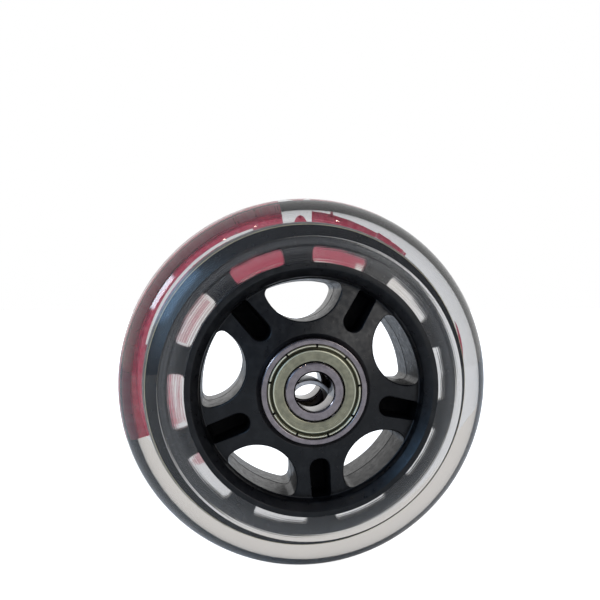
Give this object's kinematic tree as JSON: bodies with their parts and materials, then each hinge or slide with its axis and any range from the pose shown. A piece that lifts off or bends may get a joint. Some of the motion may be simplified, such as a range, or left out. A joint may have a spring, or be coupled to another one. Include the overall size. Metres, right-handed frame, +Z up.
{
  "type": "caster wheel",
  "caption": "Clear-tyred wheel with a black spoked hub, shielded ball bearings in its centre and a loose spacer tube between them, for a chair caster or a skate",
  "frame": {"origin": "centre of the wheel, on its axle line and midway between its two faces", "axes": "axle along Y, the bearing face shown in the picture towards -Y; +Z up; +X to the right seen from the front; one spoke hole is 5 degrees past +Z towards -X"},
  "size_m": [0.08, 0.024, 0.08],
  "materials": {
    "urethane": "clear cast urethane, glossy tread, finely turned side faces",
    "hub_plastic": "black moulded plastic, satin, with soft edges",
    "bearing_steel": "ground bearing steel with fine turning marks",
    "shield_zinc": "pressed sheet steel, yellowish zinc plate",
    "ball_steel": "polished bearing balls",
    "cage_steel": "pressed strip steel with rivets",
    "spacer_aluminium": "turned aluminium tube"
  },
  "bodies": {
    "axle_side": {"front_inner_ring": "bearing_steel", "rear_inner_ring": "bearing_steel"},
    "wheel": {"tyre": "urethane", "hub": "hub_plastic", "front_outer_ring": "bearing_steel", "front_outside_shield": "shield_zinc", "front_inside_shield": "shield_zinc", "rear_outer_ring": "bearing_steel", "rear_outside_shield": "shield_zinc", "rear_inside_shield": "shield_zinc"},
    "front_cage": {"front_outside_cage": "cage_steel", "front_inside_cage": "cage_steel", "front_rivet_1": "cage_steel", "front_rivet_2": "cage_steel", "front_rivet_3": "cage_steel", "front_rivet_4": "cage_steel", "front_rivet_5": "cage_steel", "front_rivet_6": "cage_steel", "front_rivet_7": "cage_steel"},
    "front_ball_1": {"front_ball_1": "ball_steel"},
    "front_ball_2": {"front_ball_2": "ball_steel"},
    "front_ball_3": {"front_ball_3": "ball_steel"},
    "front_ball_4": {"front_ball_4": "ball_steel"},
    "front_ball_5": {"front_ball_5": "ball_steel"},
    "front_ball_6": {"front_ball_6": "ball_steel"},
    "front_ball_7": {"front_ball_7": "ball_steel"},
    "rear_cage": {"rear_outside_cage": "cage_steel", "rear_inside_cage": "cage_steel", "rear_rivet_1": "cage_steel", "rear_rivet_2": "cage_steel", "rear_rivet_3": "cage_steel", "rear_rivet_4": "cage_steel", "rear_rivet_5": "cage_steel", "rear_rivet_6": "cage_steel", "rear_rivet_7": "cage_steel"},
    "rear_ball_1": {"rear_ball_1": "ball_steel"},
    "rear_ball_2": {"rear_ball_2": "ball_steel"},
    "rear_ball_3": {"rear_ball_3": "ball_steel"},
    "rear_ball_4": {"rear_ball_4": "ball_steel"},
    "rear_ball_5": {"rear_ball_5": "ball_steel"},
    "rear_ball_6": {"rear_ball_6": "ball_steel"},
    "rear_ball_7": {"rear_ball_7": "ball_steel"},
    "spacer": {"spacer": "spacer_aluminium"}
  },
  "joints": [
    {"name": "wheel_spin", "type": "hinge", "parent": "axle_side", "child": "wheel", "pos_m": [0, 0, 0], "axis": [0, 1, 0], "continuous": true},
    {"name": "front_cage_spin", "type": "hinge", "parent": "axle_side", "child": "front_cage", "pos_m": [0, -0.0085, 0], "axis": [0, 1, 0], "continuous": true},
    {"name": "front_ball_1_roll", "type": "hinge", "parent": "front_cage", "child": "front_ball_1", "pos_m": [0.0075, -0.0085, 0], "axis": [0, 1, 0], "continuous": true},
    {"name": "front_ball_2_roll", "type": "hinge", "parent": "front_cage", "child": "front_ball_2", "pos_m": [0.00468, -0.0085, 0.00586], "axis": [0, 1, 0], "continuous": true},
    {"name": "front_ball_3_roll", "type": "hinge", "parent": "front_cage", "child": "front_ball_3", "pos_m": [-0.00167, -0.0085, 0.00731], "axis": [0, 1, 0], "continuous": true},
    {"name": "front_ball_4_roll", "type": "hinge", "parent": "front_cage", "child": "front_ball_4", "pos_m": [-0.00676, -0.0085, 0.00325], "axis": [0, 1, 0], "continuous": true},
    {"name": "front_ball_5_roll", "type": "hinge", "parent": "front_cage", "child": "front_ball_5", "pos_m": [-0.00676, -0.0085, -0.00325], "axis": [0, 1, 0], "continuous": true},
    {"name": "front_ball_6_roll", "type": "hinge", "parent": "front_cage", "child": "front_ball_6", "pos_m": [-0.00167, -0.0085, -0.00731], "axis": [0, 1, 0], "continuous": true},
    {"name": "front_ball_7_roll", "type": "hinge", "parent": "front_cage", "child": "front_ball_7", "pos_m": [0.00468, -0.0085, -0.00586], "axis": [0, 1, 0], "continuous": true},
    {"name": "rear_cage_spin", "type": "hinge", "parent": "axle_side", "child": "rear_cage", "pos_m": [0, 0.0085, 0], "axis": [0, 1, 0], "continuous": true},
    {"name": "rear_ball_1_roll", "type": "hinge", "parent": "rear_cage", "child": "rear_ball_1", "pos_m": [0.0075, 0.0085, 0], "axis": [0, 1, 0], "continuous": true},
    {"name": "rear_ball_2_roll", "type": "hinge", "parent": "rear_cage", "child": "rear_ball_2", "pos_m": [0.00468, 0.0085, 0.00586], "axis": [0, 1, 0], "continuous": true},
    {"name": "rear_ball_3_roll", "type": "hinge", "parent": "rear_cage", "child": "rear_ball_3", "pos_m": [-0.00167, 0.0085, 0.00731], "axis": [0, 1, 0], "continuous": true},
    {"name": "rear_ball_4_roll", "type": "hinge", "parent": "rear_cage", "child": "rear_ball_4", "pos_m": [-0.00676, 0.0085, 0.00325], "axis": [0, 1, 0], "continuous": true},
    {"name": "rear_ball_5_roll", "type": "hinge", "parent": "rear_cage", "child": "rear_ball_5", "pos_m": [-0.00676, 0.0085, -0.00325], "axis": [0, 1, 0], "continuous": true},
    {"name": "rear_ball_6_roll", "type": "hinge", "parent": "rear_cage", "child": "rear_ball_6", "pos_m": [-0.00167, 0.0085, -0.00731], "axis": [0, 1, 0], "continuous": true},
    {"name": "rear_ball_7_roll", "type": "hinge", "parent": "rear_cage", "child": "rear_ball_7", "pos_m": [0.00468, 0.0085, -0.00586], "axis": [0, 1, 0], "continuous": true},
    {"name": "spacer_float", "type": "slide", "parent": "axle_side", "child": "spacer", "axis": [0, 0, 1], "range_m": [0, 0.0036]}
  ],
  "couplings": [
    {"joint": "front_cage_spin", "follows": "wheel_spin", "ratio": 0.6323},
    {"joint": "front_ball_1_roll", "follows": "wheel_spin", "ratio": 1.7574},
    {"joint": "front_ball_2_roll", "follows": "wheel_spin", "ratio": 1.7574},
    {"joint": "front_ball_3_roll", "follows": "wheel_spin", "ratio": 1.7574},
    {"joint": "front_ball_4_roll", "follows": "wheel_spin", "ratio": 1.7574},
    {"joint": "front_ball_5_roll", "follows": "wheel_spin", "ratio": 1.7574},
    {"joint": "front_ball_6_roll", "follows": "wheel_spin", "ratio": 1.7574},
    {"joint": "front_ball_7_roll", "follows": "wheel_spin", "ratio": 1.7574},
    {"joint": "rear_cage_spin", "follows": "wheel_spin", "ratio": 0.6323},
    {"joint": "rear_ball_1_roll", "follows": "wheel_spin", "ratio": 1.7574},
    {"joint": "rear_ball_2_roll", "follows": "wheel_spin", "ratio": 1.7574},
    {"joint": "rear_ball_3_roll", "follows": "wheel_spin", "ratio": 1.7574},
    {"joint": "rear_ball_4_roll", "follows": "wheel_spin", "ratio": 1.7574},
    {"joint": "rear_ball_5_roll", "follows": "wheel_spin", "ratio": 1.7574},
    {"joint": "rear_ball_6_roll", "follows": "wheel_spin", "ratio": 1.7574},
    {"joint": "rear_ball_7_roll", "follows": "wheel_spin", "ratio": 1.7574}
  ]
}
